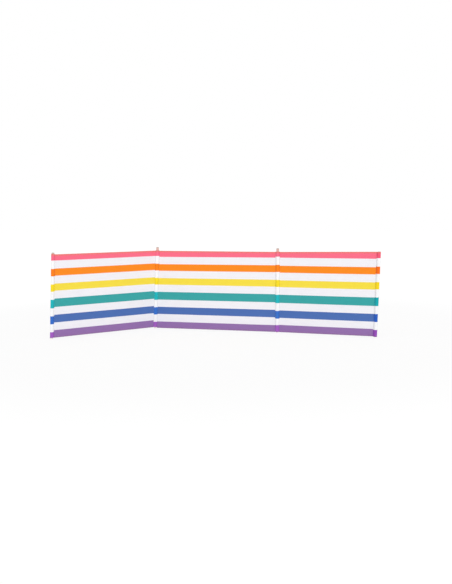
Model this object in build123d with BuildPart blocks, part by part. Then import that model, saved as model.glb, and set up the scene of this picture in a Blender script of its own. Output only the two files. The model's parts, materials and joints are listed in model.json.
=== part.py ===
# Beach windbreak of three bays: four round wooden poles stand in the pockets of a striped
# cloth. The row is seen from the sheltered side, which faces -Y. The origin is the middle of
# the left middle pole's foot, at ground level, and +X runs along the middle bay.
# Sizes are in millimetres and angles in degrees.
from build123d import *
import os
from math import cos, radians, sin, tan

# Cloth
cloth_height = 808.0
cloth_thickness = 1.0
ground_gap = 4.0
hem_depth = 16.0
hem_layers = 2

# Poles
pole_diameter = 27.0
head_rounding = 5.0

# Pockets
pocket_gap = 1.6
hem_clearance = 0.3
pocket_reach = 23.0
seam_width = 6.0
seam_clearance = 0.1

# The left middle pole leans towards +X.
middle_lean = 3.0

# Bays from left to right. Length runs from foot to foot, heading is turned from +X, and fan
# is how much further than its left pole the right pole leans, within the plane of the bay.
# The cloth isn't cut quite square: low and high are how much its lower and its upper edge
# rise, at the left and the right pole.
bays = {
    "left": {"length": 1170.0, "heading": 53.3, "fan": 0.0, "low": (8, 8), "high": (11, 8)},
    "middle": {"length": 1324.0, "heading": 0.0, "fan": -2.4, "low": (0, 0), "high": (5, -1)},
    "right": {"length": 990.0, "heading": -4.6, "fan": 1.6, "low": (0, 2), "high": (-1, 9)},
}

# Poles from left to right, with the height of each head above its pocket, and the rise of
# the pocket's lower and upper end.
poles = {
    "left_end": {"head": 14.0, "low": 10, "high": 14},
    "left_middle": {"head": 34.0, "low": 8, "high": 9},
    "right_middle": {"head": 33.0, "low": 2, "high": 2},
    "right_end": {"head": 2.0, "low": 0, "high": 9},
}

cloth_top = ground_gap + cloth_height
pocket_radius = pole_diameter / 2 + pocket_gap
slot_width = cloth_thickness + 2 * seam_clearance
seam_start = pocket_reach - seam_width


def along(heading, distance):
    """The step of this length in plan along a heading."""
    return Vector(distance * cos(radians(heading)), distance * sin(radians(heading)))


def at_poles(start, steps):
    """Adds one step for each bay along the row, from start at the left middle pole."""
    left, middle, right = steps
    return [start - left, start, start + middle, start + middle + right]


# A pole's slope is its step in plan for each unit of height. The slopes differ only along the
# bay between two poles, so each panel is flat.
feet = at_poles(Vector(), [along(bay["heading"], bay["length"]) for bay in bays.values()])
slopes = at_poles(
    along(0, tan(radians(middle_lean))),
    [along(bay["heading"], tan(radians(bay["fan"]))) for bay in bays.values()],
)

for pole, foot, slope in zip(poles.values(), feet, slopes):
    pole["foot"] = foot
    pole["axis"] = (slope + Vector(0, 0, 1)).normalized()
    pole["headings"] = []
    pole["low_end"] = ground_gap + pole["low"]
    pole["high_end"] = cloth_top + pole["high"]

for bay, left_pole, right_pole in zip(bays.values(), list(poles)[:-1], list(poles)[1:]):
    bay["poles"] = (poles[left_pole], poles[right_pole])
    bay["low_edge"] = [ground_gap + rise for rise in bay["low"]]
    bay["high_edge"] = [cloth_top + rise for rise in bay["high"]]
    poles[left_pole]["headings"].append(bay["heading"])
    poles[right_pole]["headings"].append(bay["heading"] + 180)


def length_over(pole, height):
    """The length of a leaning pole over this height."""
    return height / pole["axis"].Z


def centre_at(pole, height):
    """The point of a pole's centre line at this height."""
    return pole["foot"] + pole["axis"] * length_over(pole, height)


def make_pole(name, pole):
    """A round pole with a rounded head. It starts in the ground, which cuts it off level."""
    centre_line = Plane(origin=pole["foot"], z_dir=pole["axis"])
    in_ground = pole_diameter
    with BuildPart() as body:
        with BuildSketch(centre_line.offset(-in_ground)):
            Circle(pole_diameter / 2)
        extrude(amount=in_ground + length_over(pole, pole["high_end"] + pole["head"]))
        fillet(body.edges().sort_by(Axis.Z)[-1], head_rounding)
        split(bisect_by=Plane.XY, keep=Keep.TOP)
    body.part.label = name
    export_step(body.part, f"parts/{name}.step")


def drawn_round(pole, spread):
    """The outline that cloth takes between the pole and its seams, let out by spread."""
    with BuildSketch(mode=Mode.PRIVATE) as outline:
        Circle(pocket_radius + spread)
        for heading in pole["headings"]:
            with Locations(along(heading, seam_start)):
                Circle(slot_width / 2 + spread)
        make_hull(outline.edges())
    return outline.sketch


def seam_strips(pole, width, reach):
    """One strip in plan for each seam, from the pole's centre out to this reach."""
    with BuildSketch(mode=Mode.PRIVATE) as strips:
        for heading in pole["headings"]:
            with Locations(Location(along(heading, reach / 2), heading)):
                Rectangle(reach, width)
    return strips.sketch


def make_pocket(name, pole):
    """Cloth drawn round the pole, which closes on the edges of the panels beside it. Where it
    has a panel on each side, it is a front layer and a back layer."""
    with BuildPart() as body:
        with BuildSketch(Plane(origin=centre_at(pole, pole["low_end"]))):
            add(drawn_round(pole, cloth_thickness))
            add(seam_strips(pole, slot_width + 2 * cloth_thickness, pocket_reach))
            add(drawn_round(pole, 0), mode=Mode.SUBTRACT)
            add(seam_strips(pole, slot_width, 2 * pocket_reach), mode=Mode.SUBTRACT)
        height = pole["high_end"] - pole["low_end"]
        extrude(amount=length_over(pole, height), dir=pole["axis"])
    layers = body.solids().sort_by(Axis.Y)
    ends = ("_front", "_back") if len(layers) > 1 else ("",)
    for end, layer in zip(ends, layers):
        with BuildPart() as piece:
            add(layer)
        piece.part.label = name + end
        export_step(piece.part, f"parts/{name}{end}.step")


def make_pocket_hem(name, pole, bottom):
    """The end of a pocket, turned in to lie against the inside of its cloth."""
    with BuildPart() as body:
        with BuildSketch(Plane(origin=centre_at(pole, bottom))):
            inside = drawn_round(pole, 0)
            add(inside)
            offset(inside, amount=-cloth_thickness, mode=Mode.SUBTRACT)
        extrude(amount=length_over(pole, hem_depth), dir=pole["axis"])
    body.part.label = name
    export_step(body.part, f"parts/{name}.step")


def make_cloth(name, bay, lower, upper, end_gap, thickness, setback=0):
    """A flat length of cloth between the poles of a bay, set back from its middle plane.
    Lower and upper are the heights of its edges at the left and the right pole."""
    left_pole, right_pole = bay["poles"]
    x_dir = along(bay["heading"], 1)
    inward = x_dir * end_gap
    corners = [
        centre_at(left_pole, lower[0]) + inward,
        centre_at(right_pole, lower[1]) - inward,
        centre_at(right_pole, upper[1]) - inward,
        centre_at(left_pole, upper[0]) + inward,
    ]
    front = Plane(origin=left_pole["foot"], x_dir=x_dir, z_dir=x_dir.cross(left_pole["axis"]))
    with BuildPart() as body:
        with BuildSketch(front.offset(-setback)):
            with BuildLine():
                Polyline([front.to_local_coords(corner) for corner in corners], close=True)
            make_face()
        extrude(amount=thickness / 2, both=True)
    body.part.label = name
    export_step(body.part, f"parts/{name}.step")


def make_hem(name, bay, bottom):
    """The edge of a panel, folded over to its back between the pockets."""
    thickness = hem_layers * cloth_thickness
    setback = (cloth_thickness + thickness) / 2
    top = [height + hem_depth for height in bottom]
    make_cloth(name, bay, bottom, top, pocket_reach + hem_clearance, thickness, setback)


os.makedirs("parts", exist_ok=True)

for name, pole in poles.items():
    make_pole(f"{name}_pole", pole)
    make_pocket(f"{name}_pocket", pole)
    make_pocket_hem(f"{name}_pocket_top_hem", pole, pole["high_end"] - hem_depth)
    make_pocket_hem(f"{name}_pocket_bottom_hem", pole, pole["low_end"])

for name, bay in bays.items():
    panel_end = seam_start + slot_width
    low, high = bay["low_edge"], bay["high_edge"]
    make_cloth(f"{name}_panel", bay, low, high, panel_end, cloth_thickness)
    make_hem(f"{name}_top_hem", bay, [height - hem_depth for height in high])
    make_hem(f"{name}_bottom_hem", bay, low)
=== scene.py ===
# %% [markdown]
# # A beach windbreak in three bays
#
# The real thing is a strip of printed cloth, sewn with a pocket for each of its four poles. This
# lesson dresses the plain solids of the part: it makes the cloth, its hems, its pockets and its
# stitching as thin meshes, and gives cloth, thread and wood their finish. The poles keep their
# solids, because a turned pole already has its true shape. Everything is in metres, with +Z up,
# and the sheltered side of the windbreak faces -Y.

# %% Load the part
import json
import math

import bmesh
import bpy
from mathutils import Matrix, Vector, noise


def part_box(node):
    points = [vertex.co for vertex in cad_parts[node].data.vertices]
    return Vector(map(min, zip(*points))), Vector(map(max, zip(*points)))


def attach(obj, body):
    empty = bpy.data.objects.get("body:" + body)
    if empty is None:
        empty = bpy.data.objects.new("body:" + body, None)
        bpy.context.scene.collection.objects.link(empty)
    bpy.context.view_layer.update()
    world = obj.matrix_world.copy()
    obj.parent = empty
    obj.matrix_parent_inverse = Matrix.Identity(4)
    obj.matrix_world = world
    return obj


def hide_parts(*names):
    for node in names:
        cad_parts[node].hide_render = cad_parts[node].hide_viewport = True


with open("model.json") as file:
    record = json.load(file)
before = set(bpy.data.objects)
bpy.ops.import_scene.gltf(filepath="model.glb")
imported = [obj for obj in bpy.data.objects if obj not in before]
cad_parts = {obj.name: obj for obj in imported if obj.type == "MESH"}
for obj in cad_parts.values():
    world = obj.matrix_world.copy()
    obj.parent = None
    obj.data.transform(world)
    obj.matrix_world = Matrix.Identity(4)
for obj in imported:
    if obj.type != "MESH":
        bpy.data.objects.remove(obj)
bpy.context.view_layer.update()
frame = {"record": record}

BODY = "root"

# %% [markdown]
# ## Where the poles stand
#
# Each pole's foot is a mount in the part's record. How far the pole leans shows in its box, whose
# middle is half way between the foot and the head. Its slope, the step in plan for each metre of
# height, gives its middle at any height. The turned-in ends of its pocket say how low and how
# high the cloth on it reaches.

# %% Read the poles from the part
POLES = ("left_end", "left_middle", "right_middle", "right_end")
# A head is rounded, so a leaning pole's box is widest this far below the top.
HEAD_ROUNDING = 0.005
mounts = {mount["name"]: mount for mount in frame["record"]["mounts"]}


def read_pole(name):
    """The foot, the slope and the height of one pole, and the ends of its pocket."""
    foot = Vector(mounts[f"{name}_foot"]["pos_m"])
    low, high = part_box(f"{name}_pole")
    slope = (low + high - 2 * foot) / (high.z - HEAD_ROUNDING)
    slope.z = 1.0
    return {
        "name": name,
        "foot": foot,
        "slope": slope,
        "height": high.z,
        "low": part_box(f"{name}_pocket_bottom_hem")[0].z,
        "high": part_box(f"{name}_pocket_top_hem")[1].z,
    }


def centre_at(pole, height):
    """The middle of a pole at a height."""
    return pole["foot"] + pole["slope"] * height


poles = {name: read_pole(name) for name in POLES}
for name, pole in poles.items():
    slope = [round(value, 4) for value in pole["slope"].xy]
    print(name, "slope", slope, "pocket up to", round(pole["high"], 3))

# %% [markdown]
# ## The bays between them
#
# A bay is flat: it is the plane through two neighbouring poles. A point of its cloth is given by
# how far it is from the left pole, how high it is, and how far it stands back from the plane. The
# cloth isn't cut quite square, so its long edges aren't quite level. The corners of the plain
# panel give the height of both edges at each end.

# %% Set up the bays
BAYS = ("left", "middle", "right")


def read_bay(name, left, right):
    """The plane between two poles, with the heights of its cloth's edges at each end."""
    along = (right["foot"] - left["foot"]).normalized()
    middle = (left["foot"] + right["foot"]) / 2
    at_left, at_right = [], []
    for vert in bpy.data.objects[f"{name}_panel"].data.vertices:
        end = at_right if (vert.co - middle).dot(along) > 0 else at_left
        end.append(vert.co.z)
    return {
        "name": name,
        "left": left,
        "right": right,
        "along": along,
        "back": left["slope"].cross(along).normalized(),
        "low": (min(at_left), min(at_right)),
        "high": (max(at_left), max(at_right)),
    }


def width_at(bay, height):
    """The distance between the middles of a bay's poles at a height."""
    return (centre_at(bay["right"], height) - centre_at(bay["left"], height)).length


def on_bay(bay, distance, height, setback=0.0):
    """The point this far from the left pole, this high and this far behind the plane."""
    return centre_at(bay["left"], height) + bay["along"] * distance + bay["back"] * setback


def edge_height(bay, edge, share):
    """The height of the low or the high edge of a bay's cloth, at a share of its width."""
    left, right = bay[edge]
    return left + (right - left) * min(max(share, 0.0), 1.0)


bays = {
    name: read_bay(name, poles[left], poles[right])
    for name, left, right in zip(BAYS, POLES[:-1], POLES[1:])
}
for name, bay in bays.items():
    edges = [round(height, 3) for height in bay["low"] + bay["high"]]
    print(name, "bay", round(width_at(bay, 0.0), 3), "m wide, edges at", edges)

# %% [markdown]
# ## Camera
#
# The view is that of the photograph, from a little above the cloth, with a normal lens. Its place
# and angles could be set by eye, but the straight edges of the stripes run to a vanishing point
# in each bay, and these fix them. The focal length is first given in pixels of the picture.

# %% Place the camera
PICTURE_HEIGHT = 584
FOCAL_PIXELS = 800
EYE = Vector((3.195, -7.781, 1.1985))
LOOK_DOWN = math.radians(5.61)
LOOK_LEFT = math.radians(17.19)
ROLL = math.radians(-0.57)


def add_object(name, data):
    """A new object in the scene, at the origin."""
    made = bpy.data.objects.new(name, data)
    bpy.context.collection.objects.link(made)
    return made


def make_camera():
    """The camera, turned from straight down to level, then down, left and rolled."""
    data = bpy.data.cameras.new("camera")
    data.lens = FOCAL_PIXELS * data.sensor_width / PICTURE_HEIGHT
    camera = add_object("camera", data)
    camera.location = EYE
    camera.rotation_euler = (math.radians(90) - LOOK_DOWN, 0, LOOK_LEFT)
    camera.rotation_euler.rotate_axis("Z", ROLL)
    bpy.context.scene.camera = camera
    return camera


print("lens", round(make_camera().data.lens, 1), "mm")

# %% [markdown]
# ## Helpers for node trees
#
# Light, floor and finishes are all built of shader nodes. Written out, each node takes a line to
# add it, and one for each setting, number and link. So one helper does all that, and small ones
# on top of it add the nodes that are used most. What goes into a node is either a number, which
# is set on its socket, or another node's output, which is linked to it.

# %% Add nodes and link them
def plug(tree, source, socket):
    """Links a socket to another, or sets it to a number or colour."""
    if isinstance(source, bpy.types.NodeSocket):
        tree.links.new(source, socket)
    else:
        socket.default_value = source


def fill(tree, sockets, values):
    """Plugs a dictionary of values into sockets, by name or by place."""
    for label, source in values.items():
        plug(tree, source, sockets[label])


def add_node(tree, kind, values=None, **settings):
    """The outputs of a new shader node, with its settings made and its inputs filled."""
    node = tree.nodes.new(f"ShaderNode{kind}")
    for setting, value in settings.items():
        setattr(node, setting, value)
    fill(tree, node.inputs, values or {})
    return node.outputs


def calc(tree, operation, *values):
    """The result of a math node."""
    return add_node(tree, "Math", dict(enumerate(values)), operation=operation)[0]


def map_range(tree, value, low, high, to_low=0.0, to_high=1.0):
    """A smooth change between two values."""
    values = {"Value": value, "From Min": low, "From Max": high}
    values |= {"To Min": to_low, "To Max": to_high}
    return add_node(tree, "MapRange", values, interpolation_type="SMOOTHSTEP")["Result"]


def add_noise(tree, vector, scale, detail=2.0):
    """A noise texture's value, about 0.5 on average."""
    values = {"Vector": vector, "Scale": scale, "Detail": detail}
    return add_node(tree, "TexNoise", values)["Fac"]


print("kinds of node so far", [kind.__name__ for kind in (calc, map_range, add_noise)])

# %% Mix colours and start materials
# A Mix node has sockets for numbers, vectors and colours. These are the ones for colours.
MIX_FACTOR, MIX_FIRST, MIX_SECOND, MIXED = 0, 6, 7, 2


def blend_colours(tree, factor, first, second, kind="MIX"):
    """A first colour, with a second mixed or multiplied into it as far as the factor says."""
    values = {MIX_FACTOR: factor, MIX_FIRST: first, MIX_SECOND: second}
    return add_node(tree, "Mix", values, data_type="RGBA", blend_type=kind)[MIXED]


def linear(red, green, blue):
    """A shader's colour from the 0 to 255 values that a picture shows."""
    def channel(value):
        value /= 255
        return value / 12.92 if value <= 0.04045 else ((value + 0.055) / 1.055) ** 2.4
    return (channel(red), channel(green), channel(blue), 1.0)


def new_material(name):
    """A new material, its node tree, and the inputs of its Principled shader."""
    material = bpy.data.materials.new(name)
    material.use_nodes = True
    tree = material.node_tree
    return material, tree, tree.nodes["Principled BSDF"].inputs


def make_object(bm, name, material):
    """A smooth object from a bmesh, with its place in its mesh."""
    for face in bm.faces:
        face.smooth = True
    mesh = bpy.data.meshes.new(name)
    bm.to_mesh(mesh)
    bm.free()
    mesh.materials.append(material)
    return add_object(name, mesh)


print("middle grey is", round(linear(128, 128, 128)[0], 3), "to a shader")

# %% [markdown]
# ## Light
#
# The photograph is evenly lit on white. A white world gives that light from all round, and one
# soft lamp adds just enough direction to show folds. A lamp near such a long object would make
# one end brighter than the other, so this is a sun lamp, with the wide angle of a large studio
# lamp. It comes from between the directions that the left bay and the other two face, so that
# all three are equally bright. The camera and reflections see the world as plain white.

# %% Light the scene
SKY_LIGHT = 0.79
KEY_STRENGTH = 1.03
KEY_FROM = Vector((0.43, -0.89, 0.18))
KEY_DISTANCE = 10.0
KEY_ANGLE = math.radians(35)


def seen_directly(tree):
    """A mask for rays that show the background: from the camera, a reflection or through glass."""
    ray = add_node(tree, "LightPath")
    indirect = calc(tree, "MAXIMUM", ray["Is Glossy Ray"], ray["Is Transmission Ray"])
    return calc(tree, "MAXIMUM", ray["Is Camera Ray"], indirect)


def light_world():
    """An even white world, which looks plain white and lights a little less than that."""
    world = bpy.data.worlds.new("studio")
    world.use_nodes = True
    tree = world.node_tree
    strength = map_range(tree, seen_directly(tree), 0.0, 1.0, SKY_LIGHT, 1.0)
    white = (1.0, 1.0, 1.0, 1.0)
    fill(tree, tree.nodes["Background"].inputs, {"Color": white, "Strength": strength})
    bpy.context.scene.world = world


def add_key_light():
    """One soft sun lamp, from the front, the right and a little above."""
    lamp = bpy.data.lights.new("key", "SUN")
    lamp.energy = KEY_STRENGTH
    lamp.angle = KEY_ANGLE
    key = add_object("key", lamp)
    key.location = KEY_FROM * KEY_DISTANCE
    key.rotation_euler = KEY_FROM.to_track_quat("Z", "Y").to_euler()


light_world()
add_key_light()
bpy.context.scene.view_settings.view_transform = "Standard"
print("light", SKY_LIGHT, "sky and", KEY_STRENGTH, "key")

# %% [markdown]
# ## Ground
#
# The floor is white as well. Near the windbreak it is partly a diffuse surface, which keeps a
# pale shadow under the cloth. Further away it fades into plain white emission, so that no horizon
# shows. The emission is a touch above 1, to make up for the diffuse share.

# %% Lay the floor
FLOOR_SIZE = 80.0
FLOOR_GLOW = 0.80
FLOOR_WHITE = 1.025
FLOOR_GREY = (0.93, 0.93, 0.93, 1.0)
SHADOW_MIDDLE = on_bay(bays["middle"], 0.6, 0.0)
SHADOW_REACH = (2.5, 5.0)


def make_floor():
    """A large white floor at ground level, with a pale shadow."""
    material, tree, surface = new_material("white_floor")
    fill(tree, surface, {"Base Color": FLOOR_GREY, "Roughness": 1.0, "Specular IOR Level": 0.0})
    ends = {0: add_node(tree, "TexCoord")["Object"], 1: SHADOW_MIDDLE}
    distance = add_node(tree, "VectorMath", ends, operation="DISTANCE")["Value"]
    outside = map_range(tree, distance, *SHADOW_REACH, FLOOR_GLOW)
    share = calc(tree, "MULTIPLY", seen_directly(tree), outside)
    diffuse = tree.nodes["Principled BSDF"].outputs["BSDF"]
    glow = add_node(tree, "Emission", {"Strength": FLOOR_WHITE})["Emission"]
    mixed = add_node(tree, "MixShader", {0: share, 1: diffuse, 2: glow})["Shader"]
    plug(tree, mixed, tree.nodes["Material Output"].inputs["Surface"])

    bm = bmesh.new()
    bmesh.ops.create_grid(bm, x_segments=1, y_segments=1, size=FLOOR_SIZE / 2)
    make_object(bm, "floor", material)


make_floor()
print("floor", FLOOR_SIZE, "m square")

# %% [markdown]
# ## The printed stripes
#
# Six dyed stripes, with white between them, run the whole length of the cloth. An image would
# blur from near, so a colour ramp with constant steps paints them from one number: the height on
# the print, from 0 at its lower edge to 1 at its upper edge. Each piece of cloth carries that
# number as an attribute, so the stripes follow the cloth wherever it folds. Their edges waver by
# a fraction of a millimetre, where the dye has crept along the threads.
#
# Cloth in two layers lets less light through, and its colours look deeper, so there are dyes for
# one layer and for two. A gamma node makes one length of cloth a little deeper than another: like
# more dye, it hardly changes white. On the pockets this depth stands partly for deeper dye and
# partly for painted light and shade. Every cloth material uses the print, so it is a node group,
# whose sockets Blender 4.5 makes on its interface.

# %% Start a node group
SOCKETS = {"value": "NodeSocketFloat", "colour": "NodeSocketColor", "vector": "NodeSocketVector"}


def new_group(name, inputs, outputs):
    """An empty shader node group with named sockets: (tree, its inputs, its output node)."""
    tree = bpy.data.node_groups.new(name, "ShaderNodeTree")
    for in_out, sockets in (("INPUT", inputs), ("OUTPUT", outputs)):
        for label, kind in sockets.items():
            tree.interface.new_socket(label, in_out=in_out, socket_type=SOCKETS[kind])
    start = tree.nodes.new("NodeGroupInput")
    end = tree.nodes.new("NodeGroupOutput")
    return tree, start.outputs, end.inputs


print("sockets", list(SOCKETS))

# %% The stripe group
STRIPES_FROM_TOP_MM = (
    ("pink", 60), ("white", 78), ("orange", 69), ("white", 75), ("yellow", 72), ("white", 75),
    ("teal", 82), ("white", 76), ("blue", 77), ("white", 76), ("purple", 70),
)
PRINT_SIZE_MM = sum(width for name, width in STRIPES_FROM_TOP_MM)
ONE_LAYER = {
    "pink": (250, 109, 136), "orange": (251, 138, 22), "yellow": (245, 221, 66),
    "teal": (54, 163, 163), "blue": (74, 109, 177), "purple": (147, 111, 170),
    "white": (241, 240, 245),
}
TWO_LAYERS = {
    "pink": (247, 104, 136), "orange": (249, 126, 10), "yellow": (246, 220, 30),
    "teal": (18, 178, 185), "blue": (48, 106, 198), "purple": (160, 88, 190),
    "white": (247, 247, 249),
}
WAVER_GRAIN = 700.0
WAVER = 0.0008


def add_stripe_ramp(tree, height, dyes):
    """A ramp of constant steps from the lowest stripe to the highest."""
    node = tree.nodes.new("ShaderNodeValToRGB")
    plug(tree, height, node.inputs["Fac"])
    ramp = node.color_ramp
    ramp.interpolation = "CONSTANT"
    ramp.elements.remove(ramp.elements[1])
    edge = 0
    for name, width in reversed(STRIPES_FROM_TOP_MM):
        stop = ramp.elements[0] if edge == 0 else ramp.elements.new(edge / PRINT_SIZE_MM)
        stop.color = linear(*dyes[name])
        edge += width
    return node.outputs["Color"]


def make_print_group():
    """Dyed stripes by height, with edges that waver by a thread or so."""
    tree, given, result = new_group(
        "striped_print",
        {"Height": "value", "Layers": "value", "Depth": "value", "Cloth": "vector"},
        {"Colour": "colour"},
    )
    waver = calc(tree, "SUBTRACT", add_noise(tree, given["Cloth"], WAVER_GRAIN), 0.5)
    height = calc(tree, "MULTIPLY_ADD", waver, WAVER, given["Height"])
    ramps = [add_stripe_ramp(tree, height, dyes) for dyes in (ONE_LAYER, TWO_LAYERS)]
    dyed = blend_colours(tree, given["Layers"], *ramps)
    deepened = add_node(tree, "Gamma", {"Color": dyed, "Gamma": given["Depth"]})
    plug(tree, deepened["Color"], result["Colour"])
    return tree


striped_print = make_print_group()
print("print", len(STRIPES_FROM_TOP_MM), "stripes,", PRINT_SIZE_MM, "mm")

# %% [markdown]
# ## The weave
#
# Windbreak cloth is a plain weave: each thread goes over one and under the next. From near, its
# relief is a chequerboard of small bumps, half of them rounded one way and half the other. Real
# threads would take millions of faces, so a group works it out from the cloth's own coordinates
# in metres, its UV map. Noise that is stretched a long way along the threads, once across the
# cloth and once up it, makes some of them paler and thicker than others.

# %% The weave group
THREAD_GRAIN = 1100.0
THREAD_SQUEEZE = 0.02


def split_axes(tree, vector):
    """The X, Y and Z of a vector."""
    return add_node(tree, "SeparateXYZ", {0: vector})


def squeezed(tree, vector, across, up, depth=1.0):
    """Coordinates squeezed by these amounts, so that a pattern on them is stretched."""
    values = {0: vector, 1: (across, up, depth)}
    return add_node(tree, "VectorMath", values, operation="MULTIPLY")["Vector"]


def streaks(tree, cloth, grain, squeeze):
    """Two noises on cloth: one stretched up it, and one stretched across it."""
    return [
        add_noise(tree, squeezed(tree, cloth, *amounts), grain, 1.0)
        for amounts in ((1.0, squeeze), (squeeze, 1.0))
    ]


def make_weave_group():
    """Relief of a plain weave, from 0 in the gaps to 1 on top of a thread, and how pale or dark
    the thread there is, about 0.5 on average."""
    tree, given, result = new_group(
        "plain_weave",
        {"Cloth": "vector", "Pitch": "value"},
        {"Relief": "value", "Thread": "value"},
    )
    axes = split_axes(tree, given["Cloth"])
    across, up = [calc(tree, "DIVIDE", axes[axis], given["Pitch"]) for axis in "XY"]
    cell = calc(tree, "ADD", calc(tree, "FLOOR", across), calc(tree, "FLOOR", up))
    over = calc(tree, "PINGPONG", cell, 1.0)
    crowns = [
        calc(tree, "SINE", calc(tree, "MULTIPLY", calc(tree, "FRACT", value), math.pi))
        for value in (across, up)
    ]
    warp = calc(tree, "MULTIPLY", crowns[0], over)
    weft = calc(tree, "MULTIPLY", crowns[1], calc(tree, "SUBTRACT", 1.0, over))
    plug(tree, calc(tree, "ADD", warp, weft), result["Relief"])
    shades = streaks(tree, given["Cloth"], THREAD_GRAIN, THREAD_SQUEEZE)
    plug(tree, calc(tree, "MULTIPLY", calc(tree, "ADD", *shades), 0.5), result["Thread"])
    return tree


plain_weave = make_weave_group()
print("weave group with", len(plain_weave.nodes), "nodes")

# %% [markdown]
# ## Stitched edges
#
# Sewn cloth shows three things: beside a seam it is painted a little darker, as painted shade in
# the crease where its layers lie, the line of stitches draws it in to a groove, and short puckers
# cross that groove. All of them depend only on how far a point is from the edge of the cloth. So
# each mesh carries that distance in metres, as an attribute, and one group turns it into masks,
# for hems and for seams.

# %% The stitched edge group
HEM_DEPTH = 0.016
HEM_STITCH = 0.0125
SEAM_WIDTH = 0.006
SEAM_STITCH = 0.003
LAYER_BLUR = 0.0006
FOLD_REACH = 0.006
GROOVE_REACH = 0.0012
PUCKER_REACH = 0.010


def make_edge_group():
    """Masks beside a sewn edge: where the layers are, the fold at its very edge, the stitches'
    groove, and the puckers."""
    tree, given, result = new_group(
        "stitched_edge",
        {"Distance": "value", "Width": "value", "Stitch": "value"},
        {"Layers": "value", "Fold": "value", "Groove": "value", "Pucker": "value"},
    )
    past = calc(tree, "SUBTRACT", given["Distance"], given["Width"])
    off_line = calc(tree, "ABSOLUTE", calc(tree, "SUBTRACT", given["Distance"], given["Stitch"]))
    for label, distance, full, gone in (
        ("Layers", past, -LAYER_BLUR, LAYER_BLUR),
        ("Fold", given["Distance"], 0.0, FOLD_REACH),
        ("Groove", off_line, 0.0, GROOVE_REACH),
        ("Pucker", off_line, 0.0, PUCKER_REACH),
    ):
        plug(tree, map_range(tree, distance, full, gone, 1.0, 0.0), result[label])
    return tree


stitched_edge = make_edge_group()
print("hem", HEM_DEPTH * 1000, "mm deep, seam", SEAM_WIDTH * 1000, "mm wide")

# %% [markdown]
# ## Cloth materials
#
# The panels, the pockets and the hems are the same cloth in one, two or three layers, so they
# share a recipe, which reads the marks of each mesh: the height on the print, the distances from
# a hem and from a seam, the depth of colour, which on the pockets is partly deeper dye and partly
# painted light and shade, and how strong the painted shade beside the seam is. Its shade changes
# slowly, because dye takes unevenly. The hems are tinted brown, in patches, and most of all along
# the fold of the upper one. Puckers run across a line of stitches, so they come from noise that
# is stretched across it: up the cloth at a hem, and sideways at a seam.

# %% Puckers and relief
FAR_FROM_EDGE = 1.0
# The depth of colour of a pocket also paints its light and shade.
MARKS = {
    "print_height": 0.0, "hem": FAR_FROM_EDGE, "seam": FAR_FROM_EDGE, "dye_and_shade": 1.0, "painted_seam_strength": 1.0
}
PUCKER_GRAIN = 150.0
PUCKER_SQUEEZE = 0.25
GROOVE_DEPTH = -0.7


def sewn_edge(tree, distance, width, stitch):
    """The masks beside a hem or a seam."""
    values = {"Distance": distance, "Width": width, "Stitch": stitch}
    return add_node(tree, "Group", values, node_tree=stitched_edge)


def add_puckers(tree, cloth, hem, seam):
    """Relief of the short folds that cross the stitched lines."""
    at_hem, at_seam = streaks(tree, cloth, PUCKER_GRAIN, PUCKER_SQUEEZE)
    crossing = calc(tree, "MULTIPLY", at_hem, hem["Pucker"])
    crossing = calc(tree, "MULTIPLY_ADD", at_seam, seam["Pucker"], crossing)
    groove = calc(tree, "ADD", hem["Groove"], seam["Groove"])
    return calc(tree, "MULTIPLY_ADD", groove, GROOVE_DEPTH, crossing)


def add_bump(tree, height, depth, strength=1.0):
    """The normals of a relief, whose depth is in metres."""
    values = {"Height": height, "Distance": depth, "Strength": strength}
    return add_node(tree, "Bump", values)["Normal"]


print("marks of cloth", list(MARKS))

# %% The cloth recipe
# A shade is a mask times the first number, plus the second, and is about 1 on average. The
# roughness is worked out from the relief in the same way.
DYE_PATCHES = 9.0
PATCH_SHADE = (0.05, 0.975)
THREAD_SHADE = (0.16, 0.92)
# The relief shade paints shade into the gaps between threads and lightens their crowns.
RELIEF_SHADE = (0.06, 0.965)
FINE_DETAIL = 4.0

# A brown tint on the hems, in patches, most of all along the fold of the upper one.
HEM_BROWNING = linear(222, 138, 60)
HEM_BROWNING_SHARE = (0.03, 0.28)
UPPER_HALF = (0.4, 0.6)
BROWNING_PATCHES = 35.0
# Painted shade in the crease beside a seam, where its layers lie.
PAINTED_SEAM_TINT = (0.86, 0.86, 0.88, 1.0)

THREAD_PITCH = 0.0008
THREAD_RELIEF = 0.5
PUCKER_HEIGHT = 7.0
RELIEF_DEPTH = 0.00012
RELIEF_STRENGTH = 0.6
ROUGHNESS = (-0.08, 0.88)


def shaded(tree, colour, shade):
    """A colour made paler or darker by a shade."""
    return blend_colours(tree, 1.0, colour, shade, "MULTIPLY")


def add_hem_browning(tree, colour, cloth, mark, hem):
    """A brown tint on the hems, in patches, and more on the upper one."""
    share = map_range(tree, mark["print_height"], *UPPER_HALF, *HEM_BROWNING_SHARE)
    patches = calc(tree, "ADD", add_noise(tree, cloth, BROWNING_PATCHES, FINE_DETAIL), 0.5)
    share = calc(tree, "MULTIPLY", share, patches)
    browning = calc(tree, "MULTIPLY", calc(tree, "ADD", hem["Layers"], hem["Fold"]), share)
    return blend_colours(tree, browning, colour, HEM_BROWNING)


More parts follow.
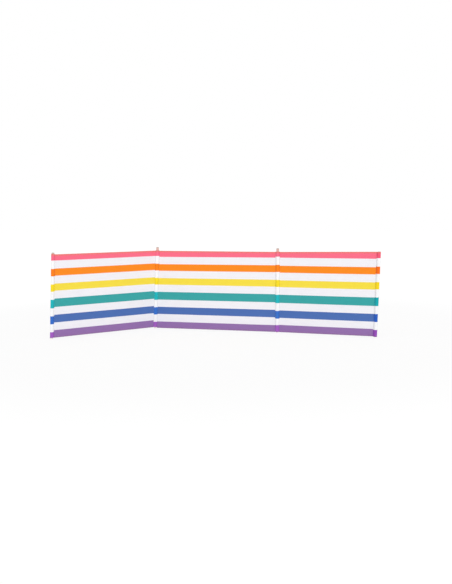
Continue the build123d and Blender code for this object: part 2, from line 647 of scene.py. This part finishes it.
def make_cloth_material(name, layers):
    """Printed cloth that looks as if it were this many layers, from 0 for one to 1 for two."""
    material, tree, surface = new_material(name)
    cloth = add_node(tree, "UVMap", uv_map="cloth")["UV"]
    mark = {label: add_node(tree, "Attribute", attribute_name=label)["Fac"] for label in MARKS}
    hem = sewn_edge(tree, mark["hem"], HEM_DEPTH, HEM_STITCH)
    seam = sewn_edge(tree, mark["seam"], SEAM_WIDTH, SEAM_STITCH)
    values = {"Height": mark["print_height"], "Layers": layers, "Depth": mark["dye_and_shade"]}
    dyed = add_node(tree, "Group", values | {"Cloth": cloth}, node_tree=striped_print)["Colour"]
    values = {"Cloth": cloth, "Pitch": THREAD_PITCH}
    weave = add_node(tree, "Group", values, node_tree=plain_weave)

    patches = add_noise(tree, cloth, DYE_PATCHES, FINE_DETAIL)
    shade = calc(tree, "MULTIPLY_ADD", patches, *PATCH_SHADE)
    for mask, amounts in ((weave["Thread"], THREAD_SHADE), (weave["Relief"], RELIEF_SHADE)):
        shade = calc(tree, "MULTIPLY", shade, calc(tree, "MULTIPLY_ADD", mask, *amounts))
    colour = add_hem_browning(tree, shaded(tree, dyed, shade), cloth, mark, hem)
    # The seams get painted shade, as strong as each pocket's own strength.
    painted_seam_shade = calc(tree, "MULTIPLY", seam["Layers"], mark["painted_seam_strength"])
    colour = blend_colours(tree, painted_seam_shade, colour, PAINTED_SEAM_TINT, "MULTIPLY")

    relief = calc(tree, "MULTIPLY_ADD", weave["Thread"], THREAD_RELIEF, weave["Relief"])
    puckers = add_puckers(tree, cloth, hem, seam)
    height = calc(tree, "MULTIPLY_ADD", puckers, PUCKER_HEIGHT, relief)
    fill(tree, surface, {
        "Base Color": colour,
        "Roughness": calc(tree, "MULTIPLY_ADD", relief, *ROUGHNESS),
        "Normal": add_bump(tree, height, RELIEF_DEPTH, RELIEF_STRENGTH),
        "Specular IOR Level": 0.25,
        "Sheen Weight": 0.05,
        "Sheen Roughness": 0.6,
    })
    return material


panel_cloth = make_cloth_material("panel_cloth", 0.0)
pocket_cloth = make_cloth_material("pocket_cloth", 1.0)
hem_cloth = make_cloth_material("hem_cloth", 0.5)
print("cloth materials", [m.name for m in (panel_cloth, pocket_cloth, hem_cloth)])

# %% [markdown]
# ## Laying out cloth
#
# Every piece of cloth starts as a flat grid, like the cut piece on a table. A function then says
# where each point of it goes, from its column and row, and gives its UV, in metres, and its
# marks. A Solidify modifier gives the sheet its thickness. Where a sheet closes on itself, its
# first and last columns are merged, so that no slit is left.

# %% Make a cloth object from a grid
CLOTH_THICKNESS = 0.0006
SAME_PLACE = 0.00001


def make_cloth(solid, material, columns, rows, place):
    """Cloth for one solid, by place(column, row): a point, its UV and a dictionary of marks."""
    bm = bmesh.new()
    bmesh.ops.create_grid(bm, x_segments=columns, y_segments=rows, size=0.5)
    uv_layer = bm.loops.layers.uv.new("cloth")
    layers = {mark: bm.verts.layers.float.new(mark) for mark in MARKS}
    flat = {}
    for vert in bm.verts:
        column, row = round((vert.co.x + 0.5) * columns), round((vert.co.y + 0.5) * rows)
        vert.co, flat[vert], marks = place(column, row)
        for mark, layer in layers.items():
            vert[layer] = marks.get(mark, MARKS[mark])
    for face in bm.faces:
        for loop in face.loops:
            loop[uv_layer].uv = flat[loop.vert]
    bmesh.ops.remove_doubles(bm, verts=bm.verts, dist=SAME_PLACE)
    cloth = make_object(bm, f"{solid}_cloth", material)
    thickness = cloth.modifiers.new("thickness", "SOLIDIFY")
    thickness.thickness = CLOTH_THICKNESS
    thickness.offset = 0.0
    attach(cloth, BODY)
    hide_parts(solid)
    return cloth


print("cloth", CLOTH_THICKNESS * 1000, "mm thick")

# %% [markdown]
# ## Where the print lies
#
# Each length of cloth was cut a little higher or lower on the print than the next. Sewing also
# pulls its outermost stripes a little wider or narrower than they were printed. That pull fades
# out smoothly in the white beside them.

# %% Find a height on the print
PRINT_SIZE = PRINT_SIZE_MM / 1000
PULL_FADES = (0.085, 0.125)


def fade(distance, length):
    """0 at no distance, rising smoothly to 1 at this length."""
    part = min(max(distance / length, 0.0), 1.0)
    return part * part * (3 - 2 * part)


def print_height(height, start, end, pull=(0.0, 0.0)):
    """Where on the print a height is, from 0 to 1, if the print lies from start to end. Pull is
    how much wider the lowest and the topmost stripe lie than they were printed."""
    above, below = height - start, end - height
    pulled_until, plain_from = PULL_FADES
    near_low, near_high = [
        1 - fade(distance - pulled_until, plain_from - pulled_until) for distance in (above, below)
    ]
    return (above - pull[0] * near_low + pull[1] * near_high) / (end - start)


print("half way up the print is", print_height(PRINT_SIZE / 2, 0.0, PRINT_SIZE))

# %% [markdown]
# ## How the cloth hangs
#
# Stretched cloth is nearly flat, but never quite. It bellies a little in the middle of a bay, and
# short folds run out from the pockets, where it is held. Cloth as taut as this hardly moves in a
# cloth simulation, so smooth noise gives all of them, with a different seed in each bay. They
# fade out at the seams, so that the cloth meets the pockets flat.

# %% The folds of a panel
PANEL_START = 0.0182
HEM_START = 0.0233
BELLY = 0.006
BELLY_GRAIN = (1.3, 1.6)
PULL_FOLD = 0.0022
PULL_REACH = 0.11
PULL_GRAIN = (4.0, 17.0)
RIPPLE = 0.0007
RIPPLE_GRAIN = (11.0, 11.0)
MEETS_FLAT = 0.03
SEEDS = {"left": 3.1, "middle": 17.4, "right": 42.8}


def smooth_noise(across, up, grain, seed):
    """Noise between about -1 and 1, whose bumps are closer together where grain is larger."""
    return noise.noise((across * grain[0], up * grain[1], seed))


def fold_depth(bay, distance, height):
    """How far behind the plane of the bay the cloth is."""
    seed = SEEDS[bay["name"]]
    width = width_at(bay, height)
    edge = min(distance, width - distance) - HEM_START
    if edge <= 0:
        return 0.0
    across = distance / width
    belly = BELLY * math.sin(math.pi * across) * smooth_noise(distance, height, BELLY_GRAIN, seed)
    reach = math.exp(-edge / PULL_REACH)
    fold = PULL_FOLD * reach * smooth_noise(edge, height, PULL_GRAIN, seed + across)
    ripple = RIPPLE * smooth_noise(distance, height, RIPPLE_GRAIN, seed)
    return fade(edge, MEETS_FLAT) * (belly + fold + ripple)


def hanging(bay, distance, height, setback=0.0):
    """The point of the hanging cloth, or one this far behind it."""
    return on_bay(bay, distance, height, fold_depth(bay, distance, height) + setback)


depths = [fold_depth(bays["middle"], 0.05 * step, 0.4) for step in range(1, 26)]
print("depth of the middle bay's folds", round(min(depths), 4), "to", round(max(depths), 4), "m")

# %% [markdown]
# ## Panels
#
# A panel runs from seam to seam, and its ends lie inside the seams of the pockets. The first and
# the last column of its grid are those ends, and all the other columns are shared with the hems,
# so that panel and hem bend together. The print of each panel starts at its own height, which
# shows as small steps in the stripes at the poles.

# %% Make the panels
PRINT_START = {"left": 0.0123, "middle": 0.0036, "right": -0.0004}
PRINT_PULL = {"left": (0.0012, 0.0018), "middle": (-0.0034, 0.003), "right": (0.0052, -0.0012)}
COLUMN_STEP = 0.009
LAYER_STEP = 0.0008
HEM_FOLD = LAYER_STEP + CLOTH_THICKNESS / 2


def count_columns(bay):
    """How many columns of the grid lie between a bay's hem ends."""
    return round((width_at(bay, 0) - 2 * HEM_START) / COLUMN_STEP)


def edges_at(bay, column):
    """The heights of the cloth's low and high edge at a column."""
    share = column / count_columns(bay)
    return edge_height(bay, "low", share), edge_height(bay, "high", share)


def distance_at(bay, column, height):
    """Where a column is along the bay: column 0 starts the hem, and -1 is inside the pocket."""
    width = width_at(bay, height)
    distance = HEM_START + column * (width - 2 * HEM_START) / count_columns(bay)
    return min(max(distance, PANEL_START), width - PANEL_START)


def make_panel(bay):
    """One panel of printed cloth between two pockets."""
    name = bay["name"]
    start = PRINT_START[name]
    columns, rows = count_columns(bay) + 2, round(PRINT_SIZE / COLUMN_STEP)

    def place(column, row):
        low, high = edges_at(bay, column - 1)
        height = low + HEM_FOLD + (high - low - 2 * HEM_FOLD) * row / rows
        distance = distance_at(bay, column - 1, height)
        marks = {
            "print_height": print_height(height, start, start + PRINT_SIZE, PRINT_PULL[name]),
            "hem": min(height - low, high - height),
        }
        return hanging(bay, distance, height), (distance, height), marks

    return make_cloth(f"{name}_panel", panel_cloth, columns, rows, place)


panels = {name: make_panel(bay) for name, bay in bays.items()}
for name, panel in panels.items():
    print(name, "panel", len(panel.data.polygons), "faces")

# %% [markdown]
# ## Folded edges
#
# The long edges of a panel are turned to the back twice, so that no raw edge shows. From the end
# it looks like a flat hook: over the edge, down the back, and up again between the two layers.
# The hook is a short path in two numbers, how far behind the cloth it is and how far from the
# edge. The grid's rows follow that path, at steps of equal length, and its columns follow the
# panel. The mouths of the pockets have such a path too.

# %% Walk along a folded edge
ROUNDING = 1e-9


def half_turn(centre, start_angle, radius, steps=6):
    """Points of a half circle, turned clockwise from its start angle in degrees."""
    angles = [math.radians(start_angle - 180 * step / steps) for step in range(steps + 1)]
    return [centre + radius * Vector((math.cos(a), math.sin(a))) for a in angles]


def walk(path, share):
    """The point at this share of a path's length, and how far along it that is."""
    steps = [(end - start).length for start, end in zip(path[:-1], path[1:])]
    goal = share * sum(steps)
    index, gone = 0, 0.0
    while gone + steps[index] < goal - ROUNDING:
        gone += steps[index]
        index += 1
    return path[index].lerp(path[index + 1], (goal - gone) / steps[index]), goal


def walk_rows(path, rows):
    """A step of the walk for each row of a grid."""
    return [walk(path, row / rows) for row in range(rows + 1)]


round_edge = half_turn(Vector((0, 0)), 180, 1.0)
print("a fold of radius 1 mm takes", round(walk(round_edge, 1.0)[1], 2), "mm of cloth")

# %% Make the hems
HEM_ROWS = 26
RAW_EDGE = 0.003
ENDS = ("top", "bottom")


def hem_path():
    """The hook of a double-turned hem: x is behind the cloth, and y is towards its edge."""
    turn = HEM_DEPTH - CLOTH_THICKNESS
    over = half_turn(Vector((LAYER_STEP, -HEM_FOLD)), 180, LAYER_STEP)
    under = half_turn(Vector((1.5 * LAYER_STEP, -turn)), 0, LAYER_STEP / 2)
    return over + under + [Vector((LAYER_STEP, -RAW_EDGE))]


HEM_STEPS = walk_rows(hem_path(), HEM_ROWS)


def make_hem(bay, end):
    """The folded edge of one panel, at its top or its bottom."""
    name = bay["name"]
    start = PRINT_START[name]
    outward = 1 if end == "top" else -1

    def place(column, row):
        (setback, rise), length = HEM_STEPS[row]
        low, high = edges_at(bay, column)
        edge = high if end == "top" else low
        height = edge + outward * rise
        distance = distance_at(bay, column, height)
        cut = edge + outward * (length - HEM_FOLD)
        marks = {"print_height": print_height(height, start, start + PRINT_SIZE), "hem": -rise}
        return hanging(bay, distance, height, setback), (distance, cut), marks

    columns = count_columns(bay)
    return make_cloth(f"{name}_{end}_hem", hem_cloth, columns, HEM_ROWS, place)


hems = {name: [make_hem(bay, end) for end in ENDS] for name, bay in bays.items()}

# %% [markdown]
# ## Hems
# #
# # A panel was cut with its hems on.

# %% [markdown]
# ## Pockets
#
# A pocket is a strip of cloth round a pole. Beside each panel it is sewn down flat, with the
# panel's end between its layers, and from there it is drawn round the pole in a taut curve. Seen
# from above, that is a circle round the pole with a straight tangent to each seam. In polar form
# it takes one line: the distance from the pole is the radius, divided by the cosine of the angle
# that is left to the tangent point. A pocket at the end of the row has one seam, and one strip
# goes all the way round. A pocket between two bays has two, with a strip in front and one behind.

# %% The shape of a pocket
POCKET_REACH = 0.023
SEAM_START = 0.017
POCKET_RADIUS = 0.0156
TIP_ANGLE = math.asin(LAYER_STEP / SEAM_START)
TANGENT_ANGLE = TIP_ANGLE + math.acos(POCKET_RADIUS * math.cos(TIP_ANGLE) / SEAM_START)
SWELL = 0.0012
SWELL_FROM_SEAM = math.radians(70)
SWELL_GRAIN = (1.3, 14.0)
SEED_STEP = 5.0


def heading(direction):
    """The angle of a direction in plan, from +X."""
    return math.atan2(direction.y, direction.x)


def towards(angle):
    """The direction in plan at an angle from +X."""
    return Vector((math.cos(angle), math.sin(angle), 0.0))


def from_seam(pole, angle):
    """The angle between a direction and the pole's nearest seam."""
    return min(abs((angle - seam + math.pi) % (2 * math.pi) - math.pi) for seam in pole["seams"])


def pocket_radius(pole, angle, height):
    """How far the pocket's cloth is from the middle of the pole."""
    from_nearest = from_seam(pole, angle)
    to_tangent = max(TANGENT_ANGLE - from_nearest, 0.0)
    seed = pole["foot"].x * SEED_STEP
    x, y = math.cos(angle) * SWELL_GRAIN[0], math.sin(angle) * SWELL_GRAIN[0]
    swell = SWELL * (0.5 + noise.noise((x, y + seed, height * SWELL_GRAIN[1])))
    return POCKET_RADIUS / math.cos(to_tangent) + swell * fade(from_nearest, SWELL_FROM_SEAM)


def round_pole(pole, angle, height, inset=0.0):
    """The point of a pocket in a direction from its pole, or one this far inside it."""
    return centre_at(pole, height) + towards(angle) * (pocket_radius(pole, angle, height) - inset)


for name, pole in poles.items():
    pole["seams"] = [heading(-bay["along"]) for bay in bays.values() if bay["right"] is pole]
    pole["seams"] += [heading(bay["along"]) for bay in bays.values() if bay["left"] is pole]
    print(name, "has seams at", [round(math.degrees(seam)) for seam in pole["seams"]], "degrees")

# %% [markdown]
# ## Laying a strip round the pole
#
# The strip's columns come in three groups: the flat seam, the curve round the pole, and the flat
# seam at the other end. Its print doesn't line up with the panels', because each pocket was cut
# from its own length of cloth, and was stretched a little as it was sewn. So each has its own
# heights for the lower and the upper edge of its print. Each also has its own depth of colour,
# partly deeper dye and partly painted light and shade, and its own strength of painted shade
# beside its seams.

# %% The strip of a pocket
POCKET_PRINT = {
    "left_end": {"start": -0.0040, "end": 0.8228},
    "left_middle": {"start": -0.0050, "end": 0.8216},
    "right_middle": {"start": -0.0120, "end": 0.8230, "pull": (0.013, 0.0)},
    "right_end": {"start": -0.0030, "end": 0.8185},
}
# Depth of colour per pocket: partly deeper dye, partly painted shade at the right end and painted
# light on the middle two.
POCKET_DYE_AND_SHADE = {"left_end": 1.0, "left_middle": 0.92, "right_middle": 0.93, "right_end": 1.18}
# How strong the painted shade beside each pocket's seams is: none at the left end, where the light
# falls along the seam.
PAINTED_SEAM_STRENGTH = {"left_end": 0.0, "left_middle": 1.0, "right_middle": 0.9, "right_end": 1.0}
FLAT_COLUMNS = 4
ROUND_COLUMNS = 40
STRIP_COLUMNS = FLAT_COLUMNS + ROUND_COLUMNS + FLAT_COLUMNS


def pocket_marks(pole, height, from_mouth):
    """The marks of a pocket's cloth at a height, and this far from its mouth."""
    name = pole["name"]
    return {
        "print_height": print_height(height, **POCKET_PRINT[name]),
        "hem": from_mouth,
        "dye_and_shade": POCKET_DYE_AND_SHADE[name],
        "painted_seam_strength": PAINTED_SEAM_STRENGTH[name],
    }


def read_layer(pole, side):
    """One strip of a pocket: its pole, where it starts, and how far it turns."""
    start = pole["seams"][0]
    turn = 2 * math.pi
    if len(pole["seams"]) == 2:
        turn = (side * (pole["seams"][1] - start)) % (2 * math.pi)
    curve = turn - 2 * TIP_ANGLE
    return {"pole": pole, "start": start, "side": side, "turn": turn, "curve": curve}


def seam_at(layer, column):
    """The angle of the seam at a column's end of a strip, and which way the cloth faces."""
    side = layer["side"]
    if column < STRIP_COLUMNS / 2:
        return layer["start"], towards(layer["start"] + side * math.pi / 2)
    end = layer["start"] + side * layer["turn"]
    return end, towards(end - side * math.pi / 2)


def strip_point(layer, column, height):
    """The point of a strip at a column and a height."""
    pole = layer["pole"]
    from_end = min(column, STRIP_COLUMNS - column)
    if from_end > FLAT_COLUMNS:
        turned = TIP_ANGLE + layer["curve"] * (column - FLAT_COLUMNS) / ROUND_COLUMNS
        return round_pole(pole, layer["start"] + layer["side"] * turned, height)
    seam, facing = seam_at(layer, column)
    reach = POCKET_REACH - SEAM_WIDTH * from_end / FLAT_COLUMNS
    return centre_at(pole, height) + towards(seam) * reach + facing * LAYER_STEP


def along_strip(layer, column):
    """How far along the strip a column is, in metres of cloth."""
    before = min(column, FLAT_COLUMNS)
    after = max(column - ROUND_COLUMNS - FLAT_COLUMNS, 0)
    turned = min(max(column - FLAT_COLUMNS, 0), ROUND_COLUMNS) / ROUND_COLUMNS
    curve = POCKET_RADIUS * layer["curve"]
    return SEAM_WIDTH * (before + after) / FLAT_COLUMNS + curve * turned


print("a strip has", STRIP_COLUMNS, "columns")

# %% Make the pockets
POCKET_ROWS = 110
MOUTH_FOLD = (LAYER_STEP + CLOTH_THICKNESS) / 2


def make_strip(name, pole, side):
    """One strip of a pocket, and its layer."""
    layer = read_layer(pole, side)
    low, high = pole["low"], pole["high"]

    def place(column, row):
        height = low + MOUTH_FOLD + (high - low - 2 * MOUTH_FOLD) * row / POCKET_ROWS
        length = along_strip(layer, column)
        marks = pocket_marks(pole, height, min(height - low, high - height))
        marks["seam"] = min(length, along_strip(layer, STRIP_COLUMNS) - length)
        return strip_point(layer, column, height), (length, height), marks

    return make_cloth(name, pocket_cloth, STRIP_COLUMNS, POCKET_ROWS, place), layer


strips = {}
for name, pole in poles.items():
    between_bays = {f"{name}_pocket_front": 1, f"{name}_pocket_back": -1}
    at_end = {f"{name}_pocket": -1 if name == POLES[0] else 1}
    for title, side in (between_bays if len(pole["seams"]) == 2 else at_end).items():
        strips[title] = make_strip(title, pole, side)
print(len(strips), "strips round", len(poles), "poles")

# %% [markdown]
# ## Pocket mouths
#
# At its top and bottom a pocket is turned in once. The turned-in ring follows the same curve as
# the pocket, a layer nearer to the pole, and starts with a small round fold at the mouth.

# %% Make the turned-in mouths
MOUTH_ROWS = 16
RING_COLUMNS = 64


def mouth_path():
    """The fold at a pocket's mouth: x is inwards, and y is towards the mouth."""
    over = half_turn(Vector((LAYER_STEP / 2, -MOUTH_FOLD)), 180, LAYER_STEP / 2)
    return over + [Vector((LAYER_STEP, -HEM_DEPTH))]


MOUTH_STEPS = walk_rows(mouth_path(), MOUTH_ROWS)


def make_mouth(pole, end):
    """The turned-in ring of cloth at one end of a pocket."""
    edge, outward = (pole["high"], 1) if end == "top" else (pole["low"], -1)

    def place(column, row):
        (inset, rise), length = MOUTH_STEPS[row]
        height = edge + outward * rise
        angle = pole["seams"][0] + 2 * math.pi * column / RING_COLUMNS
        flat = (POCKET_RADIUS * angle, edge + outward * length)
        return round_pole(pole, angle, height, inset), flat, pocket_marks(pole, height, -rise)

    title = f"{pole['name']}_pocket_{end}_hem"
    return make_cloth(title, pocket_cloth, RING_COLUMNS, MOUTH_ROWS, place)


mouths = {name: [make_mouth(pole, end) for end in ENDS] for name, pole in poles.items()}

# %% [markdown]
# ## Strips and poles
# #
# # Each strip's pole is read back from its layer. In the real pocket the turned-in mouths are part
# # of the strip in front, or of the only strip where there is one.

for name, (strip, layer) in strips.items():
    pole = layer["pole"]

# %% [markdown]
# ## Thread
#
# Sewing thread is a fine grey twist, which shows a little against white and dyed stripes
# alike. Its diagonal plies show only from near, so they aren't modelled: a wave texture gives
# them, as a little shade and relief along each stitch.

# %% The thread material
THREAD_COLOUR = linear(186, 186, 193)
PLIES = 900.0
PLY_SHADE = (0.2, 0.85)
PLY_DEPTH = 0.00005
PLY_ROUGHNESS = (0.6, 0.75)


def make_thread_material():
    """Twisted polyester thread."""
    material, tree, surface = new_material("sewing_thread")
    values = {
        "Vector": add_node(tree, "TexCoord")["Object"], "Scale": PLIES, "Distortion": 1.0
    }
    twist = add_node(tree, "TexWave", values, bands_direction="DIAGONAL")["Fac"]
    fill(tree, surface, {
        "Base Color": shaded(tree, THREAD_COLOUR, calc(tree, "MULTIPLY_ADD", twist, *PLY_SHADE)),
        "Roughness": map_range(tree, twist, 0.0, 1.0, *PLY_ROUGHNESS),
        "Normal": add_bump(tree, twist, PLY_DEPTH),
        "Sheen Weight": 0.1,
    })
    return material


sewing_thread = make_thread_material()
print("thread", sewing_thread.name)

# %% [markdown]
# ## Stitches
#
# A lockstitch shows as a row of short, slightly sunken beads, each where the thread runs from one
# hole to the next. One bead is an icosphere of twenty faces, stretched along the line. There are
# thousands of them, so more faces would only make the model heavy.
#
# Each line has a function that says, for a distance along it, where that is and which way the
# cloth faces there.

# %% Sew a line
STITCH_PITCH = 0.004
STITCH_SIZE = Vector((0.0032, 0.0004, 0.0004))
STITCH_RISE = CLOTH_THICKNESS / 2 + 0.00008


def sew_line(bm, start, end, place):
    """Stitches from one distance to another along a line, by place(distance): point, facing."""
    count = max(round((end - start) / STITCH_PITCH), 1)
    pitch = (end - start) / count
    half = STITCH_SIZE.x / 2
    for index in range(count):
        middle = start + (index + 0.5) * pitch
        point, facing = place(middle)
        along = (place(middle + half)[0] - place(middle - half)[0]).normalized()
        across = facing.cross(along).normalized()
        axes = Matrix((along * STITCH_SIZE.x, across * STITCH_SIZE.y, facing * STITCH_SIZE.z))
        centre = Matrix.Translation(point + facing * STITCH_RISE)
        matrix = centre @ axes.transposed().to_4x4()
        bmesh.ops.create_icosphere(bm, subdivisions=1, radius=0.5, matrix=matrix)


def finish_stitches(bm, name):
    """A piece of thread from all the stitches of a bmesh."""
    print(name, len(bm.faces), "faces")
    stitches = make_object(bm, name, sewing_thread)
    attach(stitches, BODY)


print("a stitch every", STITCH_PITCH * 1000, "mm")

# %% Sew the hems
def sew_hems(bay):
    """The lines along both hems of a bay, at the front and at the back."""
    bm = bmesh.new()
    for edge, inset in (("low", HEM_STITCH), ("high", -HEM_STITCH)):
        width = width_at(bay, bay[edge][0])
        for setback, facing in ((0.0, -bay["back"]), (2 * LAYER_STEP, bay["back"])):
            def place(distance):
                height = edge_height(bay, edge, distance / width) + inset
                return hanging(bay, distance, height, setback), facing

            sew_line(bm, HEM_START, width - HEM_START, place)
    finish_stitches(bm, f"{bay['name']}_hem_stitches")


for bay in bays.values():
    sew_hems(bay)

# %% [markdown]
# ## Pocket stitches
#
# A seam runs up each side of a pocket, through its layers and the end of the panel. Each mouth has
# a line round it that holds the turned-in cloth.

# %% Sew the pockets
MOUTH_LINE_INSET = 0.002


def sew_seams(bm, layer):
    """The two upright lines of one strip."""
    low, high = layer["pole"]["low"] + SEAM_STITCH, layer["pole"]["high"] - SEAM_STITCH
    for column in (FLAT_COLUMNS / 2, STRIP_COLUMNS - FLAT_COLUMNS / 2):
        facing = seam_at(layer, column)[1]
        sew_line(bm, low, high, lambda height: (strip_point(layer, column, height), facing))


def sew_mouths(bm, layer):
    """The lines round both ends of one strip, from seam to seam."""
    pole, side = layer["pole"], layer["side"]
    end = POCKET_RADIUS * layer["curve"] - MOUTH_LINE_INSET
    for height in (pole["low"] + HEM_STITCH, pole["high"] - HEM_STITCH):
        def place(distance):
            angle = layer["start"] + side * (TIP_ANGLE + distance / POCKET_RADIUS)
            return round_pole(pole, angle, height), towards(angle)

        sew_line(bm, MOUTH_LINE_INSET, end, place)


for name, pole in poles.items():
    bm = bmesh.new()
    for strip, layer in strips.values():
        if layer["pole"] is pole:
            sew_seams(bm, layer)
            sew_mouths(bm, layer)
    finish_stitches(bm, f"{name}_pocket_stitches")

# %% [markdown]
# ## Wood
#
# The poles are turned from pale, slightly pink pine. Its growth rings are cylinders about the
# heart of the tree, which is outside the pole, so they show as streaks on its side and as arcs
# on its head. A picture wrapped round the pole couldn't do both, so the distance from that
# heart, bent by some noise, gives the rings all through the wood. Short dark flecks are the
# ducts of its resin.
#
# The head is end grain, which drinks up dirt and weathers, so it is darker and greyer. The foot
# is scoured and bleached by sand each time the pole is driven in. Each pole has its own material,
# because its pattern is centred on its own foot.

# %% The wood grain group
FROM_HEART = (0.05, 0.02)
RING_BENDS = 14.0
RING_BEND = 0.006
RING_SHARPNESS = 3.0
FIBRE_GRAIN = 2200.0
FLECK_LENGTH, FIBRE_LENGTH = 0.09, 0.02
FLECKS_FROM = (0.60, 0.72)


def make_grain_group():
    """Streaks, flecks and relief of turned pine, whose grain runs up Z."""
    tree, given, result = new_group(
        "turned_wood",
        {"Place": "vector", "Ring width": "value"},
        {"Ring": "value", "Fleck": "value", "Fibre": "value"},
    )
    place = given["Place"]
    axes = split_axes(tree, place)
    squares = [
        calc(tree, "POWER", calc(tree, "ADD", axes[axis], offset), 2.0)
        for axis, offset in zip("XY", FROM_HEART)
    ]
    distance = calc(tree, "SQRT", calc(tree, "ADD", *squares))
    bend = calc(tree, "SUBTRACT", add_noise(tree, place, RING_BENDS), 0.5)
    distance = calc(tree, "MULTIPLY_ADD", bend, RING_BEND, distance)
    turns = calc(tree, "DIVIDE", distance, given["Ring width"])
    ring = calc(tree, "POWER", calc(tree, "PINGPONG", turns, 1.0), RING_SHARPNESS)
    plug(tree, ring, result["Ring"])
    flecks = add_noise(tree, squeezed(tree, place, 1.0, 1.0, FLECK_LENGTH), FIBRE_GRAIN, 1.0)
    plug(tree, map_range(tree, flecks, *FLECKS_FROM), result["Fleck"])
    fibres = add_noise(tree, squeezed(tree, place, 1.0, 1.0, FIBRE_LENGTH), FIBRE_GRAIN)
    plug(tree, fibres, result["Fibre"])
    return tree


turned_wood = make_grain_group()
print("grain group with", len(turned_wood.nodes), "nodes")

# %% The wood of each pole
PALE_WOOD = linear(228, 188, 176)
RING_WOOD = linear(208, 162, 150)
FLECK_WOOD = linear(150, 112, 90)
WORN_HEAD = linear(186, 174, 165)
WORN_RING = linear(150, 137, 128)
BLEACHED_FOOT = linear(243, 236, 230)
RING_WIDTH = 0.0014
FIBRE_SHADE = (0.16, 0.92)
FIBRE_RANGE = (0.2, 0.8)
FIBRE_ROUGHNESS = (0.55, 0.72)
FLECK_SHARE = 0.5
WORN_NEAR_TOP = (-0.007, 0.001)
BLEACHED_NEAR_FOOT = (0.045, 0.015)
STAIN_GRAIN = 260.0
STAIN_REACH = 0.006
GRAIN_DEPTH = 0.0001
GRAIN_STRENGTH = 0.7


def make_wood(pole):
    """Turned pine for one pole, centred on its foot."""
    material, tree, surface = new_material(f"{pole['name']}_wood")
    values = {"Vector": add_node(tree, "TexCoord")["Object"], "Location": -pole["foot"]}
    place = add_node(tree, "Mapping", values)["Vector"]
    values = {"Place": place, "Ring width": RING_WIDTH}
    grain = add_node(tree, "Group", values, node_tree=turned_wood)

    colour = blend_colours(tree, grain["Ring"], PALE_WOOD, RING_WOOD)
    colour = shaded(tree, colour, calc(tree, "MULTIPLY_ADD", grain["Fibre"], *FIBRE_SHADE))
    flecks = calc(tree, "MULTIPLY", grain["Fleck"], FLECK_SHARE)
    colour = blend_colours(tree, flecks, colour, FLECK_WOOD)
    stain = add_noise(tree, place, STAIN_GRAIN, 3.0)
    stain = calc(tree, "MULTIPLY_ADD", stain, STAIN_REACH, split_axes(tree, place)["Z"])
    head = map_range(tree, stain, *[pole["height"] + rise for rise in WORN_NEAR_TOP])
    end_grain = blend_colours(tree, grain["Ring"], WORN_HEAD, WORN_RING)
    colour = blend_colours(tree, head, colour, end_grain)
    foot = map_range(tree, stain, *BLEACHED_NEAR_FOOT)
    colour = blend_colours(tree, foot, colour, BLEACHED_FOOT)

    relief = calc(tree, "SUBTRACT", grain["Fibre"], grain["Fleck"])
    fill(tree, surface, {
        "Base Color": colour,
        "Roughness": map_range(tree, grain["Fibre"], *FIBRE_RANGE, *FIBRE_ROUGHNESS),
        "Normal": add_bump(tree, relief, GRAIN_DEPTH, GRAIN_STRENGTH),
        "Specular IOR Level": 0.35,
    })
    return material


for name, pole in poles.items():
    wood = make_wood(pole)
    for slot in bpy.data.objects[f"{name}_pole"].material_slots:
        slot.material = wood
    print(name, "pole has", wood.name)
